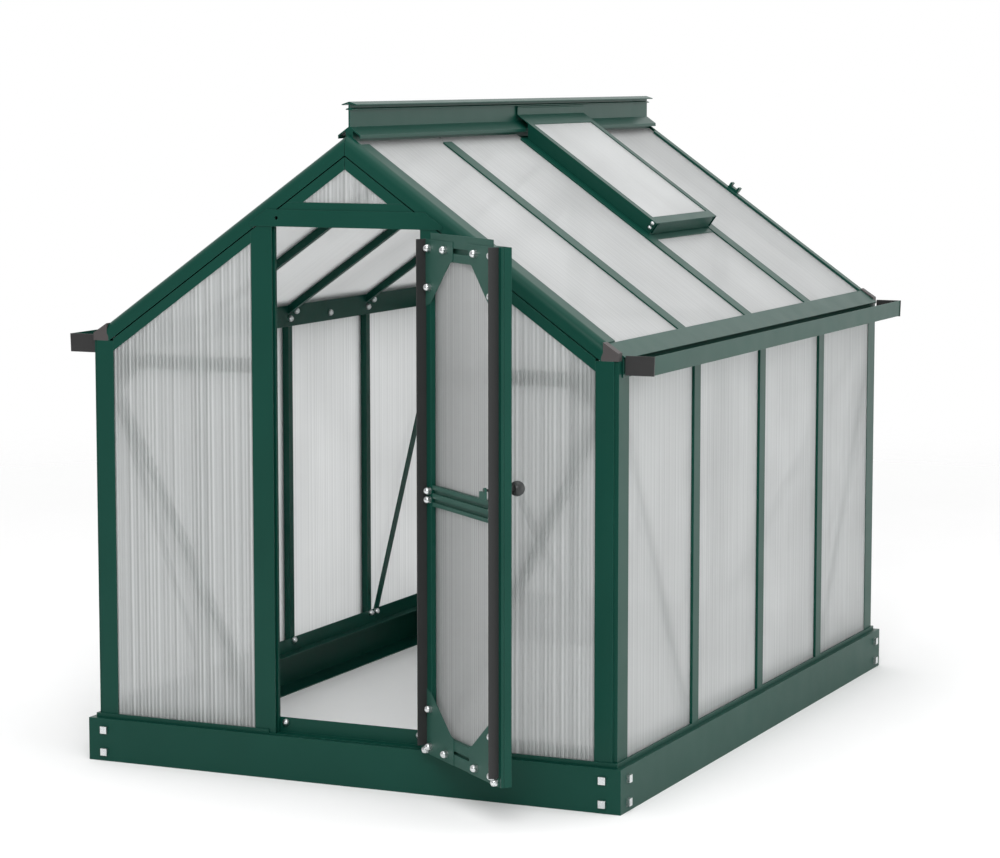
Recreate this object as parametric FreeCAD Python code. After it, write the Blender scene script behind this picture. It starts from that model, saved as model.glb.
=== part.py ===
import FreeCAD, Part
import math
import os

os.makedirs("parts", exist_ok=True)
V = FreeCAD.Vector

# Base: a rectangle of folded steel channel lying on the ground
base_width = 1840.0
base_length = 2556.0
base_height = 137.0
base_flange = 96.0
base_sheet = 2.5
bracket_leg = 80.0
bracket_margin = 8.0
base_bolt_inset = 58.0
base_bolt_low = 29.5
base_bolt_high = 101.0
base_bolt_head = 23.0
base_bolt_head_height = 10.0
base_bolt_radius = 4.0
base_nut_radius = 7.5
base_nut_height = 6.0
anchor_inset_x = 120.0
anchor_inset_y = 48.0
anchor_radius = 5.0
bolt_clearance = 0.2
base_bolt_tail = 2.0

# Frame sections, measured inward from the face of the posts
frame_inset = 24.0
profile_wall = 2.0
post_depth = 32.0
glazing_lip = 10.0
pane_thickness = 6.0
pane_gap = 0.5
edge_gap = 1.0
seat_gap = 0.3
slot_gap = 0.2

# Sills on the base
sill_plate = 2.0
sill_out = 6.0
sill_lip_height = 14.0
sill_upstand = 49.0
sill_post_gap = 1.0
sill_bolt_height = 39.0
doorway_bolt_inset = 21.0
doorway_bolt_height = 33.0
sill_door_gap = 7.5

# Corner posts and door posts
corner_front_leg = 72.0
corner_side_leg = 88.0
corner_side_depth = 30.0
corner_notch_front = 13.0
corner_notch_side = 8.0
doorway_width = 506.0
door_post_width = 73.0
post_groove_depth = 14.0
post_groove_front = 3.0
post_groove_back = 20.0

# Roof plane: height of the top of the glazing above the posts' outer face
wall_height = 1361.0
roof_pitch = 35.2
post_drop = 11.0
beam_drop = 61.0

# Rafters over the two gables
rafter_rise = 8.5
rafter_drop = 41.0
rafter_round = 27.0
rafter_cover_depth = 88.0
rear_cover_depth = 58.0
rafter_cover_gap = 2.0
rafter_ledge_depth = 54.0
rafter_ledge_drop = 26.0
rafter_seam = 1.5
rafter_end_inset = 48.0
rail_gap = 4.0
rail_contact = 6.0

# Gable rails under the rafters, header and cross bar
rail_band = 21.0
header_drop = 270.0
header_height = 52.0
header_thick = 3.0
header_over_rafter = 18.0
header_return = 18.0
header_hole_radius = 6.0
header_hole_inset = 91.0
header_hole_height = 26.0
cross_bar_rise = 5.0
cross_bar_height = 70.0

# Roof bars and wall stiles
bay_pitch = 610.0
bar_half = 32.0
bar_rise = 5.0
neck_half = 4.0
bar_body_half = 12.0
bar_body_drop = 30.0
stile_half = 27.0
stile_proud = 7.0
stile_neck_half = 5.0
stile_body_half = 15.0

# Ridge beam
ridge_half_web = 2.3
ridge_rise = 111.0
ridge_top_half = 25.0
ridge_top_fall = 8.0
ridge_sheet = 3.0
ridge_lip_half = 11.0
ridge_lip_drop = 22.0
ridge_flange_half = 38.0
ridge_flange_rise = 30.0
ridge_flange_thick = 4.0
ridge_flange_lip = 9.0
ridge_core_half = 12.0
ridge_wing_half = 40.0
ridge_wing_drop = 12.0
ridge_core_drop = 68.0

# Eave rails, gutters and caps
beam_inner = 30.0
beam_outer = 3.0
eave_cover_inner = 46.0
eave_cover_outer = 12.0
eave_groove_end = 3.0
gutter_width = 99.0
gutter_bottom_drop = 51.0
gutter_rim_rise = 5.0
gutter_inner_drop = 6.0
gutter_taper = 2.0
gutter_sheet = 2.0
gutter_cap_thick = 4.0
gutter_cap_lip = 2.0
cap_width = 54.0
cap_step = 12.0
cap_shoulder = 25.0
cap_outer = 24.0

# Side rails, gussets and braces inside the walls
side_rail_drop = 36.0
side_rail_height = 46.0
side_rail_thick = 6.0
side_rail_end_inset = 151.0
side_rail_on_post = 36.0
gusset_thick = 3.0
gusset_post_gap = 1.0
gusset_top_rise = 28.0
gusset_foot_drop = 134.0
brace_width = 36.0
brace_thick = 3.0
brace_foot_height = 176.0
brace_top_drop = 74.0
gable_brace_foot_out = 70.0
gable_brace_top_inset = 64.0
wall_brace_foot_out = 42.0
wall_brace_top_inset = 62.0
rail_bolt_radius = 11.5
rail_bolt_height = 15.0
bolt_skirt_part = 0.35
rail_bolt_shank = 3.0
rail_bolt_grip = 8.0
eave_bolt_rise = 28.0
eave_bar_bolt_rise = 52.0
eave_bar_bolt_shift = 46.0

# Clip on the rear rafter
clip_place = 330.0
clip_length = 42.0
clip_depth = 26.0
clip_sheet = 8.0
clip_ear = 20.0
clip_from_face = 12.0

# Roof vent
vent_rise = 50.7
vent_seat_gap = 0.4
vent_end = 596.0
vent_start = 46.0
vent_lap = 15.0
vent_rail = 33.0
vent_box = 24.0
vent_lip = 3.1
vent_ledge = 7.0
vent_ledge_thick = 3.0
vent_top_lap = 5.0
vent_bolt_radius = 7.0
vent_bolt_height = 8.0
vent_bolt_inset = 12.0
vent_bolt_rise = 21.0
vent_bolt_step = 17.0
hook_x = 6.5
hook_drop = 29.0
hook_bead = 3.5
hook_plate = 3.0
cross_rail_start = 590.0
cross_rail_width = 24.0
cross_rail_neck = 8.0
cross_rail_lap = 32.0
cross_rail_cover = 3.0
stay_length = 260.0
stay_width = 20.0
stay_thick = 3.0
stay_pin_radius = 2.5
stay_pin_clearance = 0.05
stay_barrel = 5.0
stay_pin_out = 11.0
stay_pin_rise = 17.0
stay_side_gap = 0.5
stay_lug = 3.0
stay_holes = 6
stay_hole_radius = 4.0
stay_hole_pitch = 36.0
peg_radius = 3.0
peg_length = 16.0
peg_head = 5.0
peg_drop = 18.0

# Door leaf, described closed and turned to the open rest pose
door_half = 267.5
door_thick = 33.0
door_post_gap = 1.0
door_bottom = 141.0
door_header_gap = 23.0
door_lip = 20.0
door_stile = 55.0
door_pane_back = 15.0
door_top_rail = 60.0
door_bottom_rail = 74.0
door_slot_low = 26.0
door_slot_height = 15.0
door_slot_depth = 10.0
door_foot_slot_low = 34.0
door_foot_slot_height = 11.0
door_mid_height = 932.5
door_mid_half = 31.5
door_mid_back = 3.0
door_mid_rib = 12.0
door_mid_channel = 8.0
door_mid_core = 7.5
door_pane_entry = 9.5
door_edge_groove = 3.0
door_edge_groove_depth = 1.5
door_edge_groove_back = 7.0
door_open_angle = 140.2
hinge_out = 22.0
hinge_axis_x = 286.0
hinge_low = 300.0
hinge_top_drop = 160.0
hinge_half = 30.0
knuckle_radius = 6.0
hinge_pin_radius = 3.0
hinge_pin_clearance = 0.05
hinge_pin_head = 5.0
hinge_pin_head_height = 2.0
hinge_leaf = 3.0
hinge_split = 0.3
seal_thick = 5.0
seal_post_gap = 3.0
seal_depth = 31.0
seal_foot = 26.0
door_gusset_thick = 2.0
door_gusset_run = 191.0
door_gusset_side = 200.0
door_gusset_edge = 57.0
door_gusset_foot_edge = 81.0
door_gusset_round = 12.0
door_gusset_step = 20.0
door_gusset_fall = 5.0
door_gusset_tab = 252.0
door_bolt_x_outer = 217.0
door_bolt_x_inner = 104.0
door_bolt_end = 26.0
door_bolt_height = 20.0
seal_bolt_x = 240.0
seal_bolt_end = 12.5
door_bolt_side = 142.0
door_mid_bolt_shift = 6.0
door_mid_bolt_drop = 5.0
door_mid_bolt_rise = 7.0
latch_height = 1006.0
latch_in = 30.0
spindle_radius = 4.0
spindle_clearance = 0.08
knob_radius = 22.5
knob_neck = 9.0
knob_centre_out = 32.0
knob_back = 13.0
lever_front = 35.0
lever_thick = 6.0
lever_height = 22.0
lever_reach = 31.0
lever_tail = 8.0
lever_drop = 16.0
lever_hub = 8.0

# Values worked out from the sizes above
half_w = base_width / 2 - frame_inset
half_l = base_length / 2 - frame_inset
face = -half_l
back = face + post_depth
tan_p = math.tan(math.radians(roof_pitch))
cos_p = math.cos(math.radians(roof_pitch))
sin_p = math.sin(math.radians(roof_pitch))
pane_apex = wall_height + half_w * tan_p
post_top = wall_height - post_drop
beam_bottom = wall_height - beam_drop
pane_front = profile_wall + pane_gap
pane_rear = pane_front + pane_thickness
slot_low = -pane_thickness - slot_gap
slot_high = slot_gap
plate_top = base_height + sill_plate
sill_back = post_depth + sill_post_gap + sill_plate
door_in = doorway_width / 2
door_out = door_in + door_post_width
rail_top = -rafter_drop - rail_gap
rail_low = rail_top - rail_band
rail_lip = rail_low - glazing_lip
stile_rows = (-bay_pitch, 0.0, bay_pitch)
hinge_y = face - hinge_out
header_bottom = pane_apex - header_drop
cross_bar_bottom = header_bottom + cross_bar_rise
cross_bar_top = cross_bar_bottom + cross_bar_height
door_top = header_bottom - door_header_gap
side_rail_bottom = beam_bottom - side_rail_drop
brace_top_height = side_rail_bottom - brace_top_drop
hinge_high = door_top - hinge_top_drop
hinge_rows = (hinge_low, (hinge_low + hinge_high) / 2, hinge_high)
far = 5000.0

shapes = {}


def outline(points, place):
    """Closed wire through 2-D points; a third value rounds that corner."""
    count = len(points)
    ends = []
    for i in range(count):
        u, v = points[i][0], points[i][1]
        radius = points[i][2] if len(points[i]) > 2 else 0.0
        if radius == 0.0:
            ends.append(((u, v), None, (u, v)))
            continue
        before = points[i - 1]
        after = points[(i + 1) % count]
        au, av = before[0] - u, before[1] - v
        bu, bv = after[0] - u, after[1] - v
        a_len = math.hypot(au, av)
        b_len = math.hypot(bu, bv)
        au, av, bu, bv = au / a_len, av / a_len, bu / b_len, bv / b_len
        half = math.acos(au * bu + av * bv) / 2
        reach = radius / math.tan(half)
        mu, mv = au + bu, av + bv
        m_len = math.hypot(mu, mv)
        depth = radius / math.sin(half) - radius
        middle = (u + mu / m_len * depth, v + mv / m_len * depth)
        ends.append(((u + au * reach, v + av * reach), middle, (u + bu * reach, v + bv * reach)))
    edges = []
    for i in range(count):
        start, middle, stop = ends[i]
        if middle is not None:
            edges.append(Part.Arc(place(*start), place(*middle), place(*stop)).toShape())
        following = ends[(i + 1) % count][0]
        edges.append(Part.makeLine(place(*stop), place(*following)))
    return Part.Wire(edges)


def prism(points, place, along, holes=()):
    """Straight extrusion of a section, with inner outlines left hollow."""
    wires = [outline(points, place)]
    for hole in holes:
        wires.append(outline(hole, place))
    return Part.makeFace(wires, "Part::FaceMakerBullseye").extrude(along)


def prism_x(points, low, high, holes=()):
    return prism(points, lambda u, v: V(low, u, v), V(high - low, 0, 0), holes)


def prism_y(points, low, high, holes=()):
    return prism(points, lambda u, v: V(u, low, v), V(0, high - low, 0), holes)


def prism_z(points, low, high, holes=()):
    return prism(points, lambda u, v: V(u, v, low), V(0, 0, high - low), holes)


def slab(x0, x1, y0, y1, z0, z1):
    return Part.makeBox(x1 - x0, y1 - y0, z1 - z0, V(x0, y0, z0))


def rect(u0, u1, v0, v1):
    return [(u0, v0), (u1, v0), (u1, v1), (u0, v1)]


def slope_point(y, s, m):
    """Point on the right slope: s runs down it from the apex, m stands off the glazing."""
    return V(s * cos_p + m * sin_p, y, pane_apex - s * sin_p + m * cos_p)


def slope_s(x, m):
    return (x - m * sin_p) / cos_p


def roof_z(x, m):
    return pane_apex + m / cos_p - tan_p * x


def slope_bar(points, holes=()):
    """Section in y and m carried the whole way down the right slope."""
    start = -ridge_rise
    run = slope_s(base_width, 0.0) - start
    return prism(points, lambda u, v: slope_point(u, start, v), V(cos_p, 0, -sin_p) * run, holes)


def slope_rail(points, low, high, holes=()):
    """Section in s and m carried along y."""
    return prism(points, lambda u, v: slope_point(low, u, v), V(0, high - low, 0), holes)


def between_x(shape, low, high):
    return shape.common(slab(low, high, -far, far, -far, far))


def mirror_x(shape):
    return shape.mirror(V(0, 0, 0), V(1, 0, 0))


def mirror_y(shape):
    return shape.mirror(V(0, 0, 0), V(0, 1, 0))


def joined(pieces):
    return pieces[0].multiFuse(pieces[1:]).removeSplitter()


def add(node, *pieces):
    for piece in pieces:
        shapes.setdefault(node, []).extend(piece.Solids)


def rod(point, direction, radius, length):
    return Part.makeCylinder(radius, length, point, direction)


def drill(nodes, hole):
    for node in nodes:
        solids = []
        for solid in shapes[node]:
            near = solid.BoundBox.intersect(hole.BoundBox)
            solids.extend(solid.cut(hole).Solids if near else [solid])
        shapes[node] = solids


def dome_bolt(point, into, radius, height, shank, grip):
    """Cap-headed bolt, a skirt under a dome, resting at the point with its shank going in."""
    skirt = bolt_skirt_part * height
    dome = height - skirt
    ball_radius = (radius * radius + dome * dome) / (2 * dome)
    half_out = radius / 2
    half_up = math.sqrt(ball_radius ** 2 - half_out ** 2) - ball_radius + height
    corners = [V(0, 0, height), V(0, 0, -grip), V(shank, 0, -grip), V(shank, 0, 0), V(radius, 0, 0),
               V(radius, 0, skirt)]
    edges = [Part.makeLine(corners[k], corners[k + 1]) for k in range(5)]
    edges.append(Part.Arc(corners[5], V(half_out, 0, half_up), corners[0]).toShape())
    solid = Part.Face(Part.Wire(edges)).revolve(V(0, 0, 0), V(0, 0, 1), 360)
    solid.Placement = FreeCAD.Placement(point, FreeCAD.Rotation(V(0, 0, -1), into))
    return solid


def fasten(node, point, into, targets, radius=rail_bolt_radius, height=rail_bolt_height, grip=rail_bolt_grip):
    add(node, dome_bolt(point, into, radius, height, rail_bolt_shank, grip))
    drill(targets, rod(point, into, rail_bolt_shank + bolt_clearance, grip + edge_gap))


# Base rails: front and rear take the full width, the sides fit between them
half_bw = base_width / 2
half_bl = base_length / 2
anchor_x = half_bw - anchor_inset_x
anchor_y = half_bl - anchor_inset_y


def channel_front():
    web = slab(-half_bw, half_bw, -half_bl, -half_bl + base_sheet, 0, base_height)
    inner = half_bw - base_sheet
    low = slab(-inner, inner, -half_bl, -half_bl + base_flange, 0, base_sheet)
    high = slab(-inner, inner, -half_bl, -half_bl + base_flange, base_height - base_sheet, base_height)
    return joined([web, low, high])


def channel_right():
    end = half_bl - base_sheet
    cope = half_bl - base_flange
    web = slab(half_bw - base_sheet, half_bw, -end, end, 0, base_height)
    low = slab(half_bw - base_flange, half_bw, -cope, cope, 0, base_sheet)
    high = slab(half_bw - base_flange, half_bw, -cope, cope, base_height - base_sheet, base_height)
    return joined([web, low, high])


add("base_front_rail", channel_front())
add("base_rear_rail", mirror_y(channel_front()))
add("base_side_rails", channel_right(), mirror_x(channel_right()))
for sx in (-1, 1):
    for sy in (-1, 1):
        below = V(sx * anchor_x, sy * anchor_y, -base_sheet)
        drill(["base_front_rail", "base_rear_rail"], rod(below, V(0, 0, 1), anchor_radius, 3 * base_sheet))

bracket_x = half_bw - base_sheet
bracket_y = half_bl - base_sheet
bracket = prism_z(
    [(bracket_x, -bracket_y), (bracket_x, -bracket_y + bracket_leg),
     (bracket_x - base_sheet, -bracket_y + bracket_leg), (bracket_x - base_sheet, -bracket_y + base_sheet),
     (bracket_x - bracket_leg, -bracket_y + base_sheet), (bracket_x - bracket_leg, -bracket_y)],
    bracket_margin, base_height - bracket_margin)
add("base_corner_brackets", bracket, mirror_x(bracket), mirror_y(bracket), mirror_x(mirror_y(bracket)))


def square_bolt(point, into, across):
    """Square-headed bolt through two sheets, with its nut inside."""
    up = V(0, 0, 1)
    h = base_bolt_head / 2
    corners = [point + across * a + up * b for a, b in ((-h, -h), (h, -h), (h, h), (-h, h))]
    head = Part.Face(Part.makePolygon(corners + corners[:1])).extrude(into * -base_bolt_head_height)
    length = 2 * base_sheet + base_nut_height + base_bolt_tail
    shank = rod(point, into, base_bolt_radius, length)
    start = point + into * (2 * base_sheet)
    hexagon = [start + across * (base_nut_radius * math.cos(math.radians(60 * k)))
               + up * (base_nut_radius * math.sin(math.radians(60 * k))) for k in range(7)]
    nut = Part.Face(Part.makePolygon(hexagon)).extrude(into * base_nut_height)
    nut = nut.cut(rod(start, into, base_bolt_radius + bolt_clearance, base_nut_height))
    hole = rod(point, into, base_bolt_radius + bolt_clearance, 3 * base_sheet)
    return joined([head, shank]), nut, hole


for z in (base_bolt_low, base_bolt_high):
    for sx in (-1, 1):
        for sy in (-1, 1):
            spot = V(sx * (half_bw - base_bolt_inset), sy * half_bl, z)
            bolt, nut, hole = square_bolt(spot, V(0, -sy, 0), V(1, 0, 0))
            add("base_bolts", bolt, nut)
            drill(["base_front_rail", "base_rear_rail", "base_corner_brackets"], hole)
            spot = V(sx * half_bw, sy * (half_bl - base_bolt_inset), z)
            bolt, nut, hole = square_bolt(spot, V(-sx, 0, 0), V(0, 1, 0))
            add("base_bolts", bolt, nut)
            drill(["base_side_rails", "base_corner_brackets"], hole)

# Sills: a tray on the base with an outer lip and an inner upstand
lip_top = base_height + sill_lip_height
upstand_top = base_height + sill_upstand
side_inner = half_w - sill_back
leg_inner = half_w - corner_side_depth - sill_post_gap
end_inner = half_l - sill_back
side_end = half_l - corner_side_leg - sill_post_gap


def sill_front(door_gap):
    lip = slab(-half_w - sill_out, half_w + sill_out, face - sill_out, face, base_height, lip_top)
    plate = slab(-half_w, half_w, face, face + sill_back, base_height, plate_top)
    wall_y = face + sill_back - sill_plate
    upstand = slab(-leg_inner, leg_inner, wall_y, wall_y + sill_plate, plate_top, upstand_top)
    sill = joined([lip, plate, upstand])
    if door_gap > 0:
        sill = sill.cut(slab(-door_gap, door_gap, face - 2 * sill_out, face, plate_top, lip_top + sill_plate))
    return sill


lip = slab(half_w, half_w + sill_out, face, -face, base_height, lip_top)
plate = slab(side_inner, half_w, -end_inner, end_inner, base_height, plate_top)
upstand = slab(side_inner, side_inner + sill_plate, -side_end, side_end, plate_top, upstand_top)
side_sill = joined([lip, plate, upstand])
add("front_sill", sill_front(door_half + sill_door_gap))
add("rear_sill", mirror_y(sill_front(0.0)))
add("side_sills", side_sill, mirror_x(side_sill))

# Corner posts: an angle of two hollow legs with lips over the glazing
w = profile_wall


def corner_post():
    def place(p, q):
        return (half_w - p, face + q)
    box_a = corner_front_leg - glazing_lip
    box_b = corner_side_leg - glazing_lip
    front = [(0, corner_notch_side), (corner_notch_front, corner_notch_side), (corner_notch_front, 0),
             (corner_front_leg, 0), (corner_front_leg, w), (box_a, w), (box_a, post_depth), (0, post_depth)]
    front_core = [(w, corner_notch_side + w), (corner_notch_front + w, corner_notch_side + w),
                  (corner_notch_front + w, w), (box_a - w, w), (box_a - w, post_depth - w), (w, post_depth - w)]
    side = [(0, post_depth), (corner_side_depth, post_depth), (corner_side_depth, box_b), (w, box_b),
            (w, corner_side_leg), (0, corner_side_leg)]
    side_core = rect(w, corner_side_depth - w, post_depth, box_b - w)

    def moved(points):
        return [place(t[0], t[1]) + tuple(t[2:]) for t in points]
    tall = prism_z(moved(front), plate_top, post_top, [moved(front_core)])
    short = prism_z(moved(side), plate_top, beam_bottom)
    short = short.cut(prism_z(moved(side_core), plate_top - w, beam_bottom + w))
    return joined([tall, short])


post = corner_post()
add("front_right_corner_post", post)
add("front_left_corner_post", mirror_x(post))
add("rear_corner_posts", mirror_y(post), mirror_x(mirror_y(post)))

# Door posts and rear posts, cut along the slope under the rafters
under_rafter = [(0, roof_z(0, rail_top - seat_gap)), (half_w, roof_z(half_w, rail_top - seat_gap)),
                (half_w, 0), (0, 0)]
gable_cutter = prism_y(under_rafter, -far, far)


def upright(points, core):
    solid = prism_z(points, plate_top, pane_apex, [core])
    return solid.common(gable_cutter)


glazed = door_out - glazing_lip
groove_end = door_in + post_groove_depth
door_post = upright(
    [(door_in, face), (door_out, face), (door_out, face + w), (glazed, face + w), (glazed, back),
     (door_in, back), (door_in, face + post_groove_back), (groove_end, face + post_groove_back),
     (groove_end, face + post_groove_front), (door_in, face + post_groove_front)],
    rect(groove_end + w, glazed - w, face + w, back - w))
add("right_door_post", door_post)
add("left_door_post", mirror_x(door_post))
glazed_in = door_in + glazing_lip
rear_post = mirror_y(upright(
    [(door_in, face), (door_out, face), (door_out, face + w), (glazed, face + w), (glazed, back),
     (glazed_in, back), (glazed_in, face + w), (door_in, face + w)],
    rect(glazed_in + w, glazed - w, face + w, back - w)))
add("rear_mid_posts", rear_post, mirror_x(rear_post))

# Rafters with rounded outer edges, and the plastic caps at their feet
rafter_end = half_w - rafter_end_inset
cap_in = half_w - cap_width
cap = prism_y(
    [(cap_in, post_top), (half_w, post_top), (half_w, post_top + cap_outer),
     (rafter_end, roof_z(rafter_end, rafter_rise)), (rafter_end, post_top + cap_shoulder),
     (cap_in, post_top + cap_step)], face, back)
add("eave_corner_caps", cap, mirror_x(cap), mirror_y(cap), mirror_x(mirror_y(cap)))

front_leg = slope_bar(
    [(face, -rafter_drop), (face, rafter_rise, rafter_round), (back, rafter_rise), (back, rail_top),
     (back - rail_contact, rail_top), (back - rail_contact, -rafter_drop)],
    [[(face + w, -rafter_drop + w), (face + w, rafter_rise - w, rafter_round - w), (back - w, rafter_rise - w),
      (back - w, -rafter_drop + w)]])
front_leg = front_leg.common(slab(rafter_seam / 2, rafter_end, -far, far, post_top, far)).cut(cap)
cover_edge = face + rafter_cover_depth
ledge_edge = face + rafter_ledge_depth
rafter_cover = slope_bar(rect(back, cover_edge, slot_high, rafter_rise))
rafter_ledge = slope_bar(rect(back, ledge_edge, -rafter_ledge_drop, slot_low))
cover_start = ridge_flange_half + rafter_cover_gap
eave_cover_x = half_w - eave_cover_inner
cover_stop = eave_cover_x - slot_gap
ledge = between_x(rafter_ledge, cover_start, cover_stop)
rafter = joined([front_leg, between_x(rafter_cover, cover_start, cover_stop), ledge])
add("front_rafters", rafter, mirror_x(rafter))
rear_cover = slope_bar(rect(back, face + rear_cover_depth, slot_high, rafter_rise))
rear_rafter = mirror_y(joined([front_leg, between_x(rear_cover, cover_start, cover_stop), ledge]))
add("rear_rafters", rear_rafter, mirror_x(rear_rafter))

# Gable rails below the rafters
gable_rail = slope_bar(
    [(face, rail_top), (back, rail_top), (back, rail_low), (face + w, rail_low), (face + w, rail_lip),
     (face, rail_lip)],
    [rect(face + w, back - w, rail_low + w, rail_top - w)])
corner_edge = half_w - corner_front_leg
lower_rail = between_x(gable_rail, door_out + seat_gap, corner_edge - seat_gap)
above_bar = slab(rafter_seam / 2, door_in - seat_gap, -far, far, cross_bar_top + seat_gap, far)
upper_front = gable_rail.common(above_bar)
upper_rear = mirror_y(between_x(gable_rail, rafter_seam / 2, door_in - seat_gap))
for rail in (lower_rail, upper_front, mirror_y(lower_rail), upper_rear):
    add("gable_rails", rail, mirror_x(rail))

# Header plate across the door posts and the hollow bar above the doorway
clip_m = -rafter_drop + header_over_rafter
header_top = header_bottom + header_height
clip_x = (pane_apex + clip_m / cos_p - header_top) / tan_p
plate_half = [(door_out, header_bottom), (door_out, roof_z(door_out, clip_m)), (clip_x, header_top)]
header_points = plate_half + [(-x, z) for x, z in reversed(plate_half)]
header_plate = prism_y(header_points, face - header_thick, face)
return_half = door_in - seat_gap
header_fold = slab(-return_half, return_half, face - header_thick, face + header_return,
                   header_bottom, header_bottom + header_thick)
header = joined([header_plate, header_fold])
mark = rod(V(-door_out + header_hole_inset, face - 2 * header_thick, header_bottom + header_hole_height),
           V(0, 1, 0), header_hole_radius, 3 * header_thick)
add("door_header", header.cut(mark))

bar_m = rail_top - seat_gap
bar_x = (pane_apex + bar_m / cos_p - cross_bar_top) / tan_p
bar_shoulder = roof_z(return_half, bar_m)
bar_half_points = [(return_half, cross_bar_bottom), (return_half, bar_shoulder), (bar_x, cross_bar_top)]
core_top = bar_shoulder - 2 * w
bar_points = bar_half_points + [(-x, z) for x, z in reversed(bar_half_points)]
cross_bar = prism_y(bar_points, face, back)
cross_bar = cross_bar.cut(slab(-far, far, face + w, back - w, cross_bar_bottom + w, core_top))
add("gable_cross_bar", cross_bar.cut(mark))

# Ridge beam
flange_in = ridge_flange_half - ridge_sheet
flange_under = ridge_flange_rise - ridge_flange_thick
lip_under = ridge_flange_rise - ridge_flange_lip
right_half = [
    (0.0, pane_apex + ridge_rise),
    (ridge_top_half, pane_apex + ridge_rise - ridge_top_fall),
    (ridge_top_half, pane_apex + ridge_rise - ridge_top_fall - ridge_sheet),
    (ridge_half_web, pane_apex + ridge_rise - 2 * ridge_sheet),
    (ridge_half_web, pane_apex + ridge_rise - ridge_lip_drop + ridge_sheet),
    (ridge_lip_half, pane_apex + ridge_rise - ridge_lip_drop),
    (ridge_lip_half, pane_apex + ridge_rise - ridge_lip_drop - ridge_sheet),
    (ridge_half_web, pane_apex + ridge_rise - ridge_lip_drop - ridge_sheet),
    (ridge_half_web, roof_z(ridge_half_web, ridge_flange_rise)),
    (ridge_flange_half, roof_z(ridge_flange_half, ridge_flange_rise)),
    (ridge_flange_half, roof_z(ridge_flange_half, lip_under)),
    (flange_in, roof_z(flange_in, lip_under)),
    (flange_in, roof_z(flange_in, flange_under)),
    (ridge_core_half, roof_z(ridge_core_half, flange_under)),
    (ridge_core_half, roof_z(ridge_core_half, slot_low)),
    (ridge_wing_half, roof_z(ridge_wing_half, slot_low)),
    (ridge_wing_half, roof_z(ridge_wing_half, -ridge_wing_drop)),
    (ridge_core_half, roof_z(ridge_core_half, -ridge_wing_drop)),
    (ridge_core_half, pane_apex - ridge_core_drop),
]
left_half = [(-x, z) for x, z in reversed(right_half) if x > 0]
ridge_core = rect(-ridge_core_half + w, ridge_core_half - w, pane_apex - ridge_core_drop + w, pane_apex)
add("ridge_beam", prism_y(right_half + left_half, back, -back, [ridge_core]))

# Eave rails: hollow beam with a cover plate over the glazing's lower edge
beam_in = half_w - beam_inner
beam_out = half_w + beam_outer
cover_out = half_w + eave_cover_outer
groove_x = half_w - eave_groove_end
eave = prism_y(
    [(beam_in, beam_bottom), (beam_out, beam_bottom), (beam_out, roof_z(beam_out, eave_groove_end)),
     (cover_out, roof_z(cover_out, eave_groove_end)), (cover_out, roof_z(cover_out, bar_rise)),
     (eave_cover_x, roof_z(eave_cover_x, bar_rise)), (eave_cover_x, roof_z(eave_cover_x, slot_high)),
     (groove_x, roof_z(groove_x, slot_high)), (groove_x, roof_z(groove_x, slot_low)),
     (beam_in, roof_z(beam_in, slot_low))],
    back, -back,
    [[(beam_in + w, beam_bottom + w), (beam_out - w, beam_bottom + w),
      (beam_out - w, roof_z(beam_out - w, slot_low - w)), (beam_in + w, roof_z(beam_in + w, slot_low - w))]])
add("eave_rails", eave, mirror_x(eave))

# Gutters outside the eaves with closed ends
g_out = beam_out + gutter_width
g_low = wall_height - gutter_bottom_drop
g_rim = wall_height + gutter_rim_rise
g_inner = wall_height - gutter_inner_drop
g = gutter_sheet
gutter = prism_y(
    [(beam_out, g_low), (g_out - gutter_taper, g_low), (g_out, g_rim), (g_out - g, g_rim),
     (g_out - gutter_taper - g, g_low + g), (beam_out + g, g_low + g), (beam_out + g, g_inner),
     (beam_out, g_inner)],
    back, -back)
add("gutters", gutter, mirror_x(gutter))
gutter_cap = prism_y(
    [(cover_out, g_low - gutter_cap_lip), (g_out, g_low - gutter_cap_lip), (g_out + gutter_cap_lip, g_rim),
     (cover_out, g_rim)], -back, -back + gutter_cap_thick)
rear_cap = mirror_y(gutter_cap)
add("gutter_end_caps", gutter_cap, mirror_x(gutter_cap), rear_cap, mirror_x(rear_cap))

# Wall stiles
stile_body_out = pane_rear + slot_gap


def wall_stile(y):
    cap_part = slab(half_w - profile_wall - slot_gap, half_w + stile_proud, y - stile_half, y + stile_half,
                    lip_top, beam_bottom)
    neck = slab(half_w - stile_body_out, half_w - profile_wall - slot_gap,
                y - stile_neck_half, y + stile_neck_half, plate_top, beam_bottom)
    inner = half_w - post_depth
    outer = half_w - stile_body_out
    body_points = rect(inner, outer, y - stile_body_half, y + stile_body_half)
    body_core = rect(inner + w, outer - w, y - stile_body_half + w, y + stile_body_half - w)
    return joined([cap_part, neck, prism_z(body_points, plate_top, beam_bottom, [body_core])])


# Roof bars
def roof_bar(y):
    top_part = slope_bar(
        [(y - bar_half, slot_high), (y - neck_half, slot_high), (y - neck_half, slot_low),
         (y + neck_half, slot_low), (y + neck_half, slot_high), (y + bar_half, slot_high),
         (y + bar_half, bar_rise), (y - bar_half, bar_rise)])
    body = slope_bar(rect(y - bar_body_half, y + bar_body_half, -bar_body_drop, slot_low),
                     [rect(y - bar_body_half + w, y + bar_body_half - w, -bar_body_drop + w, slot_low - w)])
    top_part = between_x(top_part, ridge_wing_half, eave_cover_x)
    return joined([top_part, between_x(body, ridge_wing_half, beam_in)])


for row in stile_rows:
    stile = wall_stile(row)
    add("wall_stiles", stile, mirror_x(stile))
    bar = roof_bar(row)
    add("roof_bars", bar, mirror_x(bar))

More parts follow.
